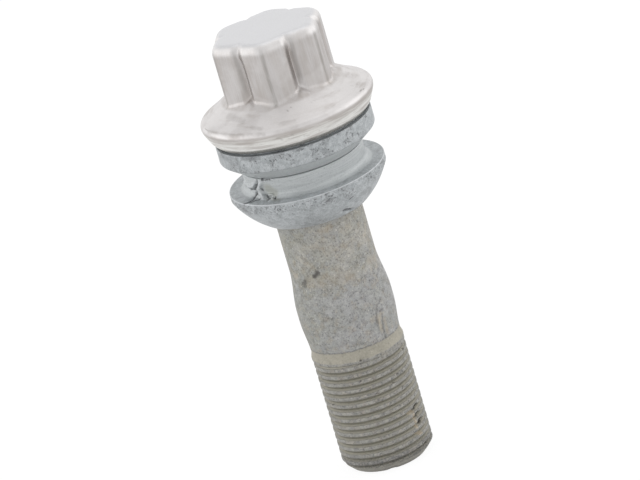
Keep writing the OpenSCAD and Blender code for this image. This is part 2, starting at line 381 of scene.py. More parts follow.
# Collar under the cap, with its cone, the groove and the flange inside the cap
collar = {
    "around": 360,
    "underZ": 52.67,
    "coneR": 9.7,
    "bandR": 12.5,
    "bandZ": 54.82,
    "topZ": 57.52,
    "grooveR": 11.6,
    "flangeZ": 58.32,
    "flangeR": 12.4,
    "flangeRise": 0.7,  # height of the flange's sloping underside
    "coreTopZ": 61.6,
    "coreDrop": 0.6,
    # Radii of the corners
    "coneCorner": 0.15,
    "bandCorner": 0.45,
    "bandTopCorner": 0.12,
    "grooveCorner": 0.1,
    "flangeCorner": 0.2,
    # Smears and scratches: degrees, radius and height at both ends, then width and strength
    "dark": [
        ((-46, 12.45, 57.1), (-30, 12.45, 57.2), 0.9, 0.3),
        ((-52, 12.5, 57.0), (-51, 12.5, 54.9), 1.2, 0.3), ((-78, 12.5, 56.6), (-56, 12.5, 56.9), 1.4, 0.22),
        ((-49.5, 12.5, 56.4), (-49.2, 12.5, 55.2), 0.22, 0.7),
        ((-46.2, 12.5, 56.9), (-45.6, 12.5, 55.8), 0.2, 0.6),
        ((-43, 12.5, 56.5), (-42, 12.5, 56.2), 0.22, 0.6), ((-1, 12.5, 57.2), (3, 12.5, 57.25), 0.3, 0.8),
        ((-5, 12.5, 57.3), (9, 12.5, 57.35), 0.3, 0.5), ((27, 12.5, 56.9), (28, 12.5, 56.2), 0.2, 0.6),
        ((33, 12.5, 56.0), (34, 12.5, 55.4), 0.25, 0.7), ((41, 12.5, 56.6), (42.5, 12.5, 56.0), 0.28, 0.8),
        ((47, 12.5, 55.8), (48, 12.5, 55.5), 0.3, 0.8), ((22, 12.5, 55.2), (23, 12.5, 54.9), 0.25, 0.7),
        ((-38, 12.3, 54.6), (-36, 11.8, 54.2), 0.3, 0.5), ((-40, 10.6, 53.3), (-30, 10.2, 53.0), 0.35, 0.4),
        ((-46, 11.0, 53.6), (-39, 10.2, 53.0), 0.3, 0.7),
    ],
    "pale": [
        ((-44, 10.6, 53.4), (-49, 10.0, 52.9), 0.9, 0.5), ((-42, 11.2, 53.8), (-36, 10.4, 53.2), 0.4, 0.5),
    ],
}


def buildCollar(v):
    # Profile from the axis outwards, up the band and the groove, and back to the axis
    outline = rounded([
        (0, v["underZ"]), (v["coneR"], v["underZ"], v["coneCorner"]),
        (v["bandR"], v["bandZ"], v["bandCorner"]), (v["bandR"], v["topZ"], v["bandTopCorner"]),
        (v["grooveR"], v["topZ"], v["grooveCorner"]), (v["grooveR"], v["flangeZ"], v["grooveCorner"]),
        (v["flangeR"], v["flangeZ"] + v["flangeRise"], v["flangeCorner"]),
        (v["flangeR"], v["coreTopZ"] - v["coreDrop"], v["flangeCorner"]),
        (0, v["coreTopZ"]),
    ], step=0.2)
    r, z, theta = turnedGrid(outline, np.linspace(0, tau, v["around"], endpoint=False))
    points = inRoom(r, theta, z)
    layers = {kind: strokes(points, inSpace(v[kind])) for kind in ("dark", "pale")}
    return gridPiece("headCollar", r, theta, z, layers)


# Loose ring: ball seat below, rim, flat ledge and neck, with a torn flap of coating on the ledge
ring = {
    "fineStep": 0.5,  # degrees between columns where the flap is
    "wideStep": 1.2,
    "flapFrom": -80.0,  # degrees right of the middle
    "flapTo": -18.0,
    "boreR": 7.03,
    "lowZ": 43.3,
    "landR": 8.23,
    "ballR": 14.0,
    "rimR": 12.5,
    "rimZ": 49.37,
    "neckR": 9.7,
    "topZ": 52.55,
    # Radii of the corners
    "rimCorner": 0.08,
    "footR": 1.1,
    "neckCorner": 0.2,
    "boreCorner": 0.1,
    "ballRows": 40,
    "outlineStep": 0.13,
    "maxLift": 0.4,
    "foldShare": 0.6,  # share of a fold's width at which it has fallen to 1/e
    "strengths": {"furrows": 0.85, "chip": 0.9, "folds": 0.6},  # of the colour along them
    # Ridges and furrows: degrees, radius and height at both ends, then width and height. The furrows also
    # carry a painted shadow, the ridges a painted highlight.
    "folds": [
        ((-54, 12.3, 49.37), (-55.4, 10.6, 49.37), 0.5, 0.12),
        ((-46, 9.7, 52.3), (-49.1, 9.7, 51.7), 0.6, 0.25),
        ((-49.1, 9.7, 51.7), (-52.5, 9.7, 50.9), 0.6, 0.35),
        ((-52.5, 9.7, 50.9), (-52, 9.8, 50.2), 0.6, 0.4), ((-52, 9.8, 50.2), (-47, 10.3, 49.6), 0.6, 0.4),
        ((-80, 9.7, 51.2), (-69, 9.7, 50.9), 0.5, 0.3), ((-69, 9.7, 50.9), (-61, 9.7, 51.15), 0.5, 0.35),
        ((-61, 9.7, 51.15), (-56, 9.7, 51.9), 0.45, 0.3),
        ((-41.5, 9.9, 49.9), (-37.5, 9.9, 49.9), 0.32, 0.25),
        ((-37.5, 9.9, 49.9), (-35.6, 10.5, 49.5), 0.32, 0.3),
        ((-35.6, 10.5, 49.5), (-38.5, 10.9, 49.45), 0.32, 0.25),
        ((-46, 9.7, 52.45), (-34, 9.7, 52.45), 0.25, 0.12),
    ],
    "furrows": [
        ((-58.8, 12.3, 49.37), (-57.5, 11.7, 49.37), 0.5, -0.08),
        ((-57.5, 11.7, 49.37), (-57.7, 10.9, 49.37), 0.7, -0.1),
        ((-57.7, 10.9, 49.37), (-60.5, 10, 49.4), 0.65, -0.1),
        ((-60.5, 10, 49.4), (-59.8, 9.7, 49.9), 0.55, -0.15),
        ((-59.8, 9.7, 49.9), (-56.4, 9.7, 50.1), 0.35, -0.25),
        ((-59.5, 9.7, 49.9), (-57.3, 9.7, 50.5), 0.3, -0.2),
        ((-57.3, 9.7, 50.5), (-57, 9.7, 51.1), 0.28, -0.2),
        ((-57, 9.7, 51.1), (-53.8, 9.7, 51.75), 0.28, -0.18),
        ((-53.8, 9.7, 51.75), (-53.4, 9.7, 52.3), 0.28, -0.15),
        ((-80, 9.7, 50.6), (-69.4, 9.7, 50.4), 0.3, -0.2),
        ((-69.4, 9.7, 50.4), (-61, 9.7, 50.65), 0.32, -0.2),
        ((-61, 9.7, 50.65), (-57, 9.7, 51.1), 0.3, -0.18),
        ((-49, 9.7, 50.9), (-47.8, 9.7, 50.1), 0.24, -0.15),
        ((-47.8, 9.7, 50.1), (-44.4, 9.8, 49.75), 0.26, -0.18),
        ((-44.4, 9.8, 49.75), (-39.9, 10.5, 49.37), 0.34, -0.2),
        ((-40.4, 10.2, 49.4), (-39.6, 10.7, 49.37), 0.45, -0.2),
        ((-34.8, 9.9, 49.5), (-34, 10.4, 49.37), 0.24, -0.12),
        ((-45.6, 9.7, 52.5), (-44.8, 9.7, 52.45), 0.45, -0.2),
        ((-44, 9.7, 52.4), (-36, 9.7, 52.3), 0.2, -0.1),
    ],
    "chip": [((24.5, 9.5, 44.45), (33.8, 8.7, 43.7), 0.75, -0.4)],
    "scratches": [
        ((-9, 9.8, 44.6), (-3, 9.7, 44.5), 0.2, 0.7), ((-1.5, 9.7, 44.55), (4, 9.6, 44.5), 0.2, 0.7),
        ((-6, 9.5, 44.3), (1, 9.5, 44.3), 0.18, 0.6), ((27, 11.5, 46.6), (29.5, 11.5, 46.7), 0.45, 0.9),
        ((8, 12.4, 49.1), (11, 12.4, 49.15), 0.25, 0.45),
        ((-53.8, 11.9, 49.37), (-52.9, 10.93, 49.37), 0.45, 0.85),
        ((-52.9, 10.93, 49.37), (-50.5, 10.35, 49.37), 0.6, 0.7),
        ((-58, 10.4, 49.37), (-40, 10.4, 49.37), 0.3, 0.25),
        ((-35, 10.6, 49.37), (0, 10.8, 49.37), 0.35, 0.3),
    ],
    "green": [
        ((-42, 9.8, 51), (-36, 9.8, 50.2), 2.2, 0.6), ((-40, 10.4, 49.4), (-30, 10.8, 49.37), 1.2, 0.4),
    ],
}


def ringOutline(v):
    # The ball face is an arc about a point on the axis; the rest is turned
    centreZ = v["lowZ"] + math.sqrt(v["ballR"] ** 2 - v["landR"] ** 2)
    low = math.acos(v["landR"] / v["ballR"])
    high = math.acos(v["rimR"] / v["ballR"])
    t = -np.linspace(low, high, v["ballRows"])
    ball = np.stack([v["ballR"] * np.cos(t), centreZ + v["ballR"] * np.sin(t)], 1)
    rest = rounded([
        (v["rimR"], ball[-1, 1]), (v["rimR"], v["rimZ"], v["rimCorner"]),
        (v["neckR"], v["rimZ"], v["footR"]), (v["neckR"], v["topZ"], v["neckCorner"]),
        (v["boreR"], v["topZ"], v["boreCorner"]), (v["boreR"], v["lowZ"], v["boreCorner"]),
        (v["landR"], v["lowZ"]),
    ], step=v["outlineStep"])
    return np.concatenate([ball, rest[1:-1]])


def onRing(v, lines):
    # The same lines with both ends moved to the nearest point of the ring's outline
    outline = ringOutline(v)

    def moved(end):
        near = outline[np.argmin(np.hypot(outline[:, 0] - end[1], outline[:, 1] - end[2]))]
        return (end[0], *near)
    return [(moved(a), moved(b), *rest) for a, b, *rest in lines]


for kind in ("folds", "furrows", "chip", "scratches", "green"):
    ring[kind] = onRing(ring, ring[kind])


def buildRing(v):
    # Columns stand close together where the flap is. Each fold lifts the surface along its
    # normal by a bell curve of the distance from the fold's line.
    fine = np.arange(v["flapFrom"], v["flapTo"], v["fineStep"])
    wide = np.arange(v["flapTo"], v["flapFrom"] + 360, v["wideStep"])
    theta = facing(0) + np.radians(np.concatenate([fine, wide]))
    outline = ringOutline(v)
    along = np.roll(outline, -1, 0) - np.roll(outline, 1, 0)
    out = np.stack([along[:, 1], -along[:, 0]], 1) / np.linalg.norm(along, axis=1)[:, None]
    r, z, theta = turnedGrid(outline, theta)
    points = inRoom(r, theta, z)
    lines = inSpace(v["folds"] + v["furrows"] + v["chip"])
    lift = sum(line[3] * bell(points, line, v["foldShare"]) for line in lines)
    lift = np.clip(lift, -v["maxLift"], v["maxLift"])

    def drawn(kind):
        # A line's last value is its strength, unless its kind has one for all
        strength = v["strengths"].get(kind)
        lines = [(a, b, width, strength or last) for a, b, width, last in inSpace(v[kind])]
        return strokes(points, lines, wobble=0.04)
    # dark: painted shadow along the furrows, with the chip and scratches; pale: painted highlight along the
    # folds
    layers = {
        "dark": np.maximum.reduce([drawn(kind) for kind in ("furrows", "chip", "scratches")]),
        "pale": drawn("folds"),
        "green": drawn("green"),
    }
    return gridPiece("ballSeatRing", r + lift * out[:, 0:1], theta, z + lift * out[:, 1:2], layers, True)


# Drawn cap: lobes, flutes, flange and curled lip
cap = {
    "around": 432,
    "halfFlats": 8.4,
    "cornerR": 2.7,
    "fluteDepth": 0.95,
    "fluteHalf": 1.35,
    "flutePoint": 0.45,  # share of a pointed parabola in the flute's section
    "fluteTop": 0.6,  # share of the flute's depth that is left at the top edge
    "fluteRun": 1.8,  # length over which it gets its full depth
    "fanLift": 0.16,  # web that rises from the flange into each flute's foot
    "fanHalf": 0.1,  # radians
    "fanFull": 1 / 6,  # shares of the way out over the flange where it is full, and where it ends
    "fanEnd": 0.6,
    "wall": 0.5,
    "topZ": 73.97,
    "edgeR": 1.6,
    "footR": 0.8,
    "flangeR": 13.85,
    "widestZ": 60.87,
    "shoulderR": 0.95,
    "shoulderIn": 0.45,  # where the flange leaves the shoulder's arc, in shares of its radius
    "shoulderUp": 0.93,
    "flareStart": 0.34,  # distance of that place from the rim
    "flareSlope": 0.5,  # rise of the flange for each millimetre inwards, at its rim
    "flareCurve": 0.02,  # how much that rise grows
    "flareMiddle": 2.0,  # distance from the rim where the slope stands for the whole flange
    "skirtIn": 0.1,  # the skirt's upper corner, in and down from the widest place
    "skirtDown": 0.5,
    "skirtCorner": 1.2,
    "bendCorner": 0.6,
    "bendR": 12.93,
    "bendZ": 58.62,
    "lipR": 12.25,
    "lipZ": 57.92,
    # Rows of points in each stretch, from the top down
    "topRows": (0, 0.3, 0.55, 0.7),  # shares of the way out to the lobes
    "edgeRows": 12,
    "wallRows": 26,
    "wallCrowd": 1.4,  # power that crowds these rows towards the top
    "footRows": 10,
    "flangeRows": 22,
    "shoulderRows": 9,
    # Smears and scratches: degrees, radius and height at both ends, then width and strength
    "dark": [
        ((-1.5, 10.6, 63.3), (0, 10.9, 63.1), 0.35, 0.4), ((1.5, 10.3, 63.5), (3, 10.5, 63.4), 0.3, 0.5),
        ((-8, 12.6, 62.1), (2, 12.7, 62.1), 0.9, 0.12), ((-30, 12.3, 62.2), (-22, 12.8, 61.9), 1.0, 0.2),
        ((-70, 13.5, 61.5), (-42, 13.6, 61.4), 1.1, 0.2), ((-42, 13.6, 61.4), (-20, 13.6, 61.3), 0.9, 0.2),
        ((58, 13.3, 61.7), (65, 13.5, 61.6), 0.2, 0.7), ((61, 11.8, 62.5), (67, 12.4, 62.2), 0.25, 0.3),
        ((-80, 13.5, 61.6), (-66, 13.6, 61.5), 0.2, 0.4), ((-14, 13.6, 60.3), (-2, 13.6, 60.2), 0.5, 0.25),
        ((-10, 13.4, 59.9), (-4, 13.4, 59.9), 0.3, 0.3), ((5, 13.2, 59.4), (16, 13.2, 59.4), 0.4, 0.3),
        ((20, 10.5, 63.2), (34, 10.6, 63.2), 0.5, 0.15), ((-60, 10.5, 63.4), (-40, 11.2, 62.9), 1.6, 0.18),
    ],
}


def lobeRadius(theta, inset, v, share=1.0):
    # Hexagon with rounded corners, less a share of a flute in the middle of each flat: its
    # section mixes a half cosine and a pointed parabola
    sector = tau / 6
    p = np.abs((theta + sector / 2) % sector - sector / 2)
    side = sector / 2 - p
    centre = (v["halfFlats"] - v["cornerR"]) / math.cos(sector / 2)
    roundR = v["cornerR"] - inset
    tangent = math.atan2(roundR * math.sin(sector / 2), centre + roundR * math.cos(sector / 2))
    corner = centre * np.cos(p) + np.sqrt(np.maximum(roundR ** 2 - (centre * np.sin(p)) ** 2, 0))
    body = np.where(p < tangent, corner, (v["halfFlats"] - inset) / np.cos(side))
    across = np.minimum(body * np.sin(side) / v["fluteHalf"], 1)
    point = v["flutePoint"]
    bottom = point * (1 - across) ** 2 + (1 - point) * (1 + np.cos(np.pi * across)) / 2
    return body - share * v["fluteDepth"] * bottom


def flareZ(r, inset, v):
    # Parabola that steepens from the rim inwards
    run = v["flangeR"] - v["shoulderR"] * v["shoulderIn"] - r
    rise = v["flareSlope"] * run + v["flareCurve"] * run ** 2
    meanSlope = math.atan(v["flareSlope"] + 2 * v["flareCurve"] * v["flareMiddle"])
    return v["widestZ"] + v["shoulderR"] * v["shoulderUp"] + rise - inset / math.cos(meanSlope)


def capFamily(theta, inset, v):
    # Rows from the middle of the top to the lip, one column for each angle
    wall = lobeRadius(theta, inset, v)
    brow = lobeRadius(theta, inset, v, v["fluteTop"])
    edge = v["edgeR"] - inset
    foot = v["footR"] + inset
    topZ = v["topZ"] - inset
    rows = [(brow * s, topZ + 0 * wall) for s in v["topRows"]]
    for t in np.linspace(0, math.pi / 2, v["edgeRows"]):
        rows.append((brow - edge + edge * math.sin(t), topZ - edge + edge * math.cos(t) + 0 * wall))
    touch = wall + foot
    for _ in range(6):  # where the foot's arc touches the flange: place and slope settle soon
        slope = np.arctan(v["flareSlope"] + 2 * v["flareCurve"] * (v["flangeR"] - v["flareStart"] - touch))
        touch = wall + foot - foot * np.sin(slope)
    centreZ = flareZ(touch, inset, v) + foot * np.cos(slope)
    for t in np.linspace(0, 1, v["wallRows"])[1:-1] ** v["wallCrowd"]:
        z = topZ - edge + (centreZ - topZ + edge) * t
        rows.append((brow + (wall - brow) * ease((topZ - edge - z) / v["fluteRun"]), z))
    for t in np.linspace(0, 1, v["footRows"]):
        bend = (math.pi / 2 - slope) * t
        rows.append((wall + foot - foot * np.cos(bend), centreZ - foot * np.sin(bend)))
    shoulder = v["shoulderR"] - inset
    lean = math.atan(v["flareSlope"])
    endR = v["flangeR"] - v["shoulderR"] + shoulder * math.sin(lean)
    endZ = v["widestZ"] + shoulder * math.cos(lean)
    flute = np.abs((theta % (tau / 6)) - tau / 12)
    fan = v["fanLift"] * np.exp(-(flute / v["fanHalf"]) ** 2)
    for t in np.linspace(0, 1, v["flangeRows"])[1:]:
        r = touch + (endR - touch) * t
        z = flareZ(r, inset, v) + fan * ease(t / v["fanFull"]) * (1 - ease(t / v["fanEnd"]))
        rows.append((r, z + (endZ - flareZ(endR + 0 * r, inset, v)) * t))
    for t in np.linspace(lean, math.pi / 2, v["shoulderRows"])[1:]:
        rows.append((v["flangeR"] - v["shoulderR"] + shoulder * math.sin(t) + 0 * wall,
                     v["widestZ"] + shoulder * math.cos(t) + 0 * wall))
    skirt = rounded([
        (v["flangeR"], v["widestZ"]),
        (v["flangeR"] - v["skirtIn"], v["widestZ"] - v["skirtDown"], v["skirtCorner"]),
        (v["bendR"], v["bendZ"], v["bendCorner"]),
        (v["lipR"], v["lipZ"]),
    ], step=0.15)
    along = np.gradient(skirt, axis=0)
    normal = np.stack([-along[:, 1], along[:, 0]], 1) / np.linalg.norm(along, axis=1)[:, None]
    skirt = skirt - inset * normal
    for r, z in skirt[1:]:
        rows.append((r + 0 * wall, z + 0 * wall))
    return np.stack([r for r, _ in rows]), np.stack([z for _, z in rows])


def buildCap(v):
    # Outer face, then the inner face one wall inside it, in one grid
    theta = np.linspace(0, tau, v["around"], endpoint=False)
    outR, outZ = capFamily(theta, 0, v)
    inR, inZ = capFamily(theta, v["wall"], v)
    r = np.concatenate([outR, inR[::-1]])
    z = np.concatenate([outZ, inZ[::-1]])
    theta = theta[None, :] + 0 * r
    return gridPiece("drawnCap", r, theta, z, {"dark": strokes(inRoom(r, theta, z), inSpace(v["dark"]))})


pieces = {
    "threadedShank": (buildShank(shank), "bolt", "bolt", "coated_steel"),
    "headCollar": (buildCollar(collar), "bolt", "bolt", "zinc_steel"),
    "ballSeatRing": (buildRing(ring), "ring", "seat_ring", "zinc_steel"),
    "drawnCap": (buildCap(cap), "bolt", "head_cap", "bright_cap"),
}
for piece, body, node, slotName in pieces.values():
    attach(piece, body)
    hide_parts(node)
print("pieces ride on their bodies")


class Wire:  # one output socket: + - * / and ** on it add Math nodes
    def __init__(self, board, socket):
        self.board = board
        self.socket = socket

    def maths(self, operation, *values):
        return self.board.add("ShaderNodeMath", {"operation": operation}, dict(enumerate(values)))

    def __add__(self, other):
        return self.maths("ADD", self, other)

    def __radd__(self, other):
        return self.maths("ADD", other, self)

    def __sub__(self, other):
        return self.maths("SUBTRACT", self, other)

    def __rsub__(self, other):
        return self.maths("SUBTRACT", other, self)

    def __mul__(self, other):
        return self.maths("MULTIPLY", self, other)

    def __truediv__(self, other):
        return self.maths("DIVIDE", self, other)

    def __pow__(self, other):
        return self.maths("POWER", self, other)


class Board:  # the nodes of one material or world
    def __init__(self, name, home=bpy.data.materials):
        self.material = home.new(name)
        self.material.use_nodes = True
        self.tree = self.material.node_tree
        self.tree.nodes.clear()

    def add(self, kind, settings=None, inputs=None, out=0):
        node = self.tree.nodes.new(kind)
        for key, value in (settings or {}).items():
            setattr(node, key, value)
        for key, value in (inputs or {}).items():
            if isinstance(value, Wire):
                self.tree.links.new(value.socket, node.inputs[key])
            else:
                node.inputs[key].default_value = value
        return Wire(self, node.outputs[out])

    def place(self):  # object coordinates in millimetres
        raw = self.add("ShaderNodeTexCoord", out="Object")
        return self.add("ShaderNodeVectorMath", {"operation": "SCALE"}, {0: raw, "Scale": 1000.0})

    def parts(self, vector):
        node = self.add("ShaderNodeSeparateXYZ", None, {0: vector}).socket.node
        return [Wire(self, s) for s in node.outputs]

    def joined(self, x, y, z):
        return self.add("ShaderNodeCombineXYZ", None, {0: x, 1: y, 2: z})

    def noise(self, vector, scale, detail=2.0, rough=0.5):
        return self.add("ShaderNodeTexNoise", None,
                        {"Vector": vector, "Scale": scale, "Detail": detail, "Roughness": rough})

    def patterns(self, vector, scales):
        return [self.noise(vector, *scale) for scale in scales.values()]

    def rise(self, value, low, high, start=0.0, end=1.0):
        return self.add("ShaderNodeMapRange", {"interpolation_type": "SMOOTHSTEP"},
                        {0: value, 1: low, 2: high, 3: start, 4: end})

    def fall(self, value, low, high, start=1.0):
        return self.rise(value, low, high, start, 0.0)

    def band(self, value, begins, ends):
        return self.rise(value, *begins) * self.fall(value, *ends)

    def tint(self, share, a, b):
        a, b = (c if isinstance(c, Wire) else (*c, 1) for c in (a, b))
        return self.add("ShaderNodeMix", {"data_type": "RGBA"}, {0: share, 6: a, 7: b}, out=2)

    def top(self, *values):
        return functools.reduce(lambda a, b: a.maths("MAXIMUM", a, b), values)

    def layer(self, name):  # numbers stored at the mesh's points
        return self.add("ShaderNodeAttribute", {"attribute_name": name}, out="Fac")

    def seen(self, direct, mirrored):
        # Share of plain white for what the camera sees, straight or through glass, and in metal
        camera, glossy, through = (self.add("ShaderNodeLightPath", out=f"Is {kind} Ray")
                                   for kind in ("Camera", "Glossy", "Transmission"))
        return self.top(camera, through) * direct + glossy * mirrored

    def bump(self, height, distance, strength):
        inputs = {"Height": height, "Distance": distance, "Strength": strength}
        return self.add("ShaderNodeBump", None, inputs)

    def finish(self, colour, roughness, normal, metallic):
        shader = self.add("ShaderNodeBsdfPrincipled", None, {
            "Base Color": colour, "Roughness": roughness, "Metallic": metallic, "Normal": normal})
        return self.end(shader)

    def mixed(self, share, first, second):
        return self.add("ShaderNodeMixShader", None, {0: share, 1: first, 2: second})

    def end(self, shader, kind="ShaderNodeOutputMaterial"):
        out = self.tree.nodes.new(kind)
        self.tree.links.new(shader.socket, out.inputs["Surface"])
        return self.material


# Linear colours: coating of the shank, zinc of the ring and collar, steel of the cap, then marks
tones = {
    "warmCoat": (0.51, 0.49, 0.44),
    "coolCoat": (0.465, 0.465, 0.46),
    "greenCoat": (0.37, 0.375, 0.33),
    "lead": (0.41, 0.385, 0.32),
    "flank": (0.32, 0.305, 0.25),
    "flankLit": (0.42, 0.4, 0.335),
    "crest": (0.29, 0.285, 0.265),
    "crestPale": (0.4, 0.392, 0.36),
    "rootShade": (0.235, 0.225, 0.18),
    "darkSpeck": (0.1, 0.1, 0.105),
    "lightSpeck": (0.68, 0.66, 0.6),
    "blueStain": (0.27, 0.28, 0.3),
    "rust": (0.46, 0.375, 0.265),
    "endRimLit": (0.4, 0.385, 0.345),
    "zinc": (0.395, 0.42, 0.432),
    "zincPale": (0.52, 0.545, 0.56),
    "zincNeck": (0.56, 0.585, 0.59),
    "zincDark": (0.13, 0.13, 0.135),
    "zincSpark": (0.7, 0.72, 0.73),
    "zincRimHighlight": (0.75, 0.77, 0.79),
    "zincGreen": (0.36, 0.37, 0.32),
    "steel": (0.735, 0.715, 0.71),
    "steelEdgeHighlight": (0.86, 0.85, 0.85),
    "steelDullAndShaded": (0.62, 0.598, 0.592),
    "steelBrown": (0.49, 0.455, 0.43),
    "steelLine": (0.3, 0.285, 0.265),
    "steelTop": (0.71, 0.715, 0.735),
    "steelSkirtLit": (0.85, 0.845, 0.82),
    "steelLip": (0.25, 0.25, 0.22),
    "coatNick": (0.04, 0.034, 0.03),
    "coatRub": (0.62, 0.56, 0.45),
    "zincNickAndShadow": (0.05, 0.05, 0.055),
    "zincRubAndHighlight": (0.62, 0.64, 0.66),
    "steelNick": (0.16, 0.14, 0.12),
}


# Coating of the shank. A pair of numbers is where one tone starts to give way and where it has.
coating = {
    # Noise: cycles in a millimetre, detail and roughness
    "noise": {
        "cloud": (0.28, 4, 0.6), "blot": (1.1, 3, 0.6), "patch": (0.75, 4, 0.65),
        "stain": (0.55, 5, 0.7), "grain": (3.6, 4, 0.75), "fleck": (2.7, 2, 0.6),
    },
    "warmZ": (33.5, 37.5),
    "greenSide": -75.0,  # degrees right of the middle
    "greenReach": (6.2, 9.2),
    "shadedRootR": (6.84, 7.02),
    "flankR": (7.25, 7.4),
    "crestR": (7.54, 7.66),
    "crestLine": ((7.46, 7.54), (7.56, 7.62)),
    # Above the lead's top
    "leadZ": ((-1.6, -1.45), (0.05, 0.25)),
    "leadLine": ((0.0, 0.15), (0.25, 0.45)),
    "wornZ": (2.2, 4.4),
    "rimZ": (1.15, 1.45),
    "roughness": 0.6,
    "metallic": 0.1,
}


def coatedSteel(v, c):
    b = Board("coatedSteel")
    p = b.place()
    x, y, z = b.parts(p)
    r = (x * x + y * y) ** 0.5
    cloud, blot, patch, stain, grain, fleck = b.patterns(p, c["noise"])
    marks = {kind: b.layer(kind) for kind in ("dark", "pale", "rust")}

    # Neck and barrel: warm above, cool below, green to the left, with stains
    side = facing(c["greenSide"])
    upper = b.rise(z + cloud * 6, *c["warmZ"])
    green = b.rise(x * math.cos(side) + y * math.sin(side) + cloud * 4, *c["greenReach"])
    body = b.tint(upper, tones["coolCoat"], tones["warmCoat"])
    body = b.tint(b.rise(cloud, 0.42, 0.62) * 0.5, body, tones["greenCoat"])
    body = b.tint(green * 0.6, body, tones["greenCoat"])
    body = b.tint(b.fall(blot, 0.3, 0.7, 0.33), body, (0, 0, 0))
    body = b.tint(b.rise(stain, 0.48, 0.68) * 0.55, body, tones["blueStain"])
    body = b.tint(b.rise(patch, 0.5, 0.66) * 0.25, body, tones["rust"])
    body = b.tint(b.fall(patch, 0.38, 0.5, 0.4), body, tones["coolCoat"])

    # Thread: a dark root that is painted shade, flanks that get painted light where they face up, and grey
    # crests between dotted lines
    threaded = b.fall(z, v["threadTopZ"] - 0.05, v["threadTopZ"] + 0.05)
    ripple = r + grain * 0.3 + blot * 0.2
    crestLine = b.band(ripple, *c["crestLine"])
    rough = b.tint(b.rise(blot, 0.38, 0.62), tones["crest"], tones["crestPale"])
    rough = b.tint(b.rise(patch, 0.5, 0.64) * 0.2, rough, tones["rust"])
    rough = b.tint(b.fall(fleck, 0.34, 0.52, 0.45), rough, tones["darkSpeck"])
    # Painted light: the flanks that face up get the lighter tone
    flank = b.tint(b.layer("lit"), tones["flank"], tones["flankLit"])
    inThread = b.tint(b.rise(ripple, *c["crestR"]), flank, rough)
    # Painted shade in the root of the groove
    inThread = b.tint(b.fall(r, *c["shadedRootR"]), inThread, tones["rootShade"])
    inThread = b.tint(crestLine * b.rise(fleck, 0.4, 0.6, 0.3, 0.75), inThread, tones["darkSpeck"])

    # Lead: the pale cone above the thread, with a dotted line along its top
    lead = b.tint(b.rise(patch, 0.42, 0.62) * 0.5, tones["lead"], tones["flank"])
    ragged = z + blot * 0.35 - v["leadTopZ"]
    onLead = b.band(ragged, *c["leadZ"])
    leadLine = b.band(ragged, *c["leadLine"])
    colour = b.tint(onLead, b.tint(threaded, body, inThread), lead)

    # End: worn last turns, and a paler rim on the chamfer that is painted light from below
    edgeBand = b.fall(z + blot * 1.2, *c["wornZ"])
    colour = b.tint(edgeBand * b.rise(grain, 0.38, 0.62, 0.75, 0.1), colour, tones["darkSpeck"])
    colour = b.tint(b.fall(z + fleck * 0.5, *c["rimZ"]) * 0.9, colour, tones["endRimLit"])

    # Specks, fewer on the lead and the flanks, and the marks
    grit = 1.0 - b.top(onLead, threaded * b.fall(r, *c["flankR"])) * 0.5
    bright = grit * (1.0 - threaded * 0.65)
    colour = b.tint(b.fall(grain, 0.26, 0.5, 0.85) * grit, colour, tones["darkSpeck"])
    colour = b.tint(b.rise(grain, 0.54, 0.76, 0.0, 0.8) * bright, colour, tones["lightSpeck"])
    colour = b.tint(b.fall(fleck, 0.28, 0.4, 0.6) * grit, colour, tones["darkSpeck"])
    colour = b.tint(b.rise(fleck, 0.66, 0.73, 0.0, 0.75) * bright, colour, tones["lightSpeck"])
    colour = b.tint(leadLine * b.rise(fleck, 0.4, 0.6, 0.15, 0.6), colour, tones["darkSpeck"])
    colour = b.tint(marks["rust"], colour, tones["rust"])
    colour = b.tint(marks["pale"], colour, tones["coatRub"])
    colour = b.tint(marks["dark"], colour, tones["coatNick"])
    height = grain * grit * 0.06 + blot * 0.06 - marks["dark"] * 0.2 + marks["pale"] * 0.05
    return b.finish(colour, c["roughness"], b.bump(height, metre, 0.8), c["metallic"])


# Zinc of the ring and the collar
zincCoat = {
    "noise": {
        "cloud": (0.45, 3, 0.6), "blot": (1.3, 3, 0.65), "grain": (4.4, 3, 0.75), "speck": (3.3, 4, 0.75),
    },
    # Ring: smooth neck and ledge, specks that crowd near the rim, and a painted highlight along the rim's
    # edge
    "neckR": (10.4, 10.9),
    "neckZ": (49.2, 49.4),
    "crowdZ": ((46.6, 47.9), (49.0, 49.3)),
    "edgeR": (12.36, 12.46),
    "edgeZ": (49.2, 49.34),
    # Collar: smooth cone, specks on the band above it
    "coneZ": (54.5, 54.75),
    "bandZ": (54.4, 54.8),
    "roughness": 0.45,
    "metallic": 0.3,
}


